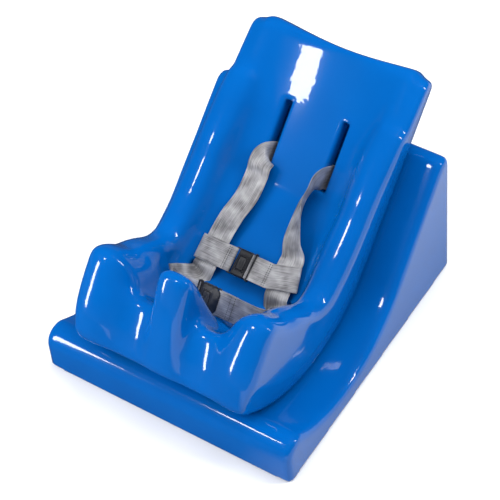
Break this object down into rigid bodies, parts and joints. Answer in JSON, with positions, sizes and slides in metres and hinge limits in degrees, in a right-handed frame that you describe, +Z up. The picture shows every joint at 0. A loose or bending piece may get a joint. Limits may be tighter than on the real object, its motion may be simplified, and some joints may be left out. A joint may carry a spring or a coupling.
{
  "type": "child floor positioning seat on a recline wedge",
  "caption": "Seamless coated-foam child seat with side wings, arms and a leg divider, reclining in a concave floor wedge, with a webbing harness and centre-release buckles.",
  "frame": {"origin": "on the floor under the middle of the wedge's base", "axes": "+X across the seat to its right as seen from the front, +Y to the rear, +Z up; the row is symmetric about X = 0 apart from the buckles"},
  "size_m": [0.43, 0.5278, 0.334],
  "materials": {
    "blue_coating": "high-gloss seamless vinyl coating",
    "foam": "closed-cell foam",
    "webbing": "ribbed satin webbing",
    "buckle": "moulded semi-gloss",
    "hook_and_loop": "matt pile",
    "anchor_bar": "plain"
  },
  "bodies": {
    "wedge": {"wedge_core": "foam", "wedge_skin": "blue_coating", "wedge_hook_strip_left": "hook_and_loop", "wedge_hook_strip_right": "hook_and_loop"},
    "seat": {"seat_core": "foam", "seat_skin": "blue_coating", "seat_loop_strip_left": "hook_and_loop", "seat_loop_strip_right": "hook_and_loop", "hip_anchor_left": "anchor_bar", "hip_anchor_right": "anchor_bar", "lap_strap_left": "webbing", "lap_strap_right": "webbing", "lap_socket": "buckle"},
    "shoulder_harness": {"shoulder_strap_left": "webbing", "shoulder_strap_right": "webbing", "rear_tie_strap": "webbing"},
    "chest_belt": {"chest_strap_left": "webbing", "chest_strap_right": "webbing", "chest_socket": "buckle"},
    "chest_release": {"chest_button": "buckle"},
    "chest_latch": {"chest_tongue": "buckle"},
    "lap_release": {"lap_button": "buckle"},
    "lap_latch": {"lap_tongue": "buckle"}
  },
  "joints": [
    {"name": "seat_recline", "type": "hinge", "parent": "wedge", "child": "seat", "pos_m": [0, -0.078, 0.259], "axis": [1, 0, 0], "range_deg": [0, 35]},
    {"name": "harness_height", "type": "slide", "parent": "seat", "child": "shoulder_harness", "axis": [0, 0.7071, 0.7071], "range_m": [0, 0.04]},
    {"name": "chest_belt_height", "type": "slide", "parent": "shoulder_harness", "child": "chest_belt", "axis": [0, 0.848, 0.5299], "range_m": [-0.005, 0.015]},
    {"name": "chest_button_press", "type": "slide", "parent": "chest_belt", "child": "chest_release", "axis": [0, 0.5299, -0.848], "range_m": [0, 0.0015]},
    {"name": "chest_tongue_release", "type": "slide", "parent": "chest_belt", "child": "chest_latch", "axis": [1, 0, 0], "range_m": [0, 0.02]},
    {"name": "lap_button_press", "type": "slide", "parent": "seat", "child": "lap_release", "axis": [0, 0.766, -0.6428], "range_m": [0, 0.0015]},
    {"name": "lap_tongue_release", "type": "slide", "parent": "seat", "child": "lap_latch", "axis": [-1, 0, 0], "range_m": [0, 0.02]}
  ]
}
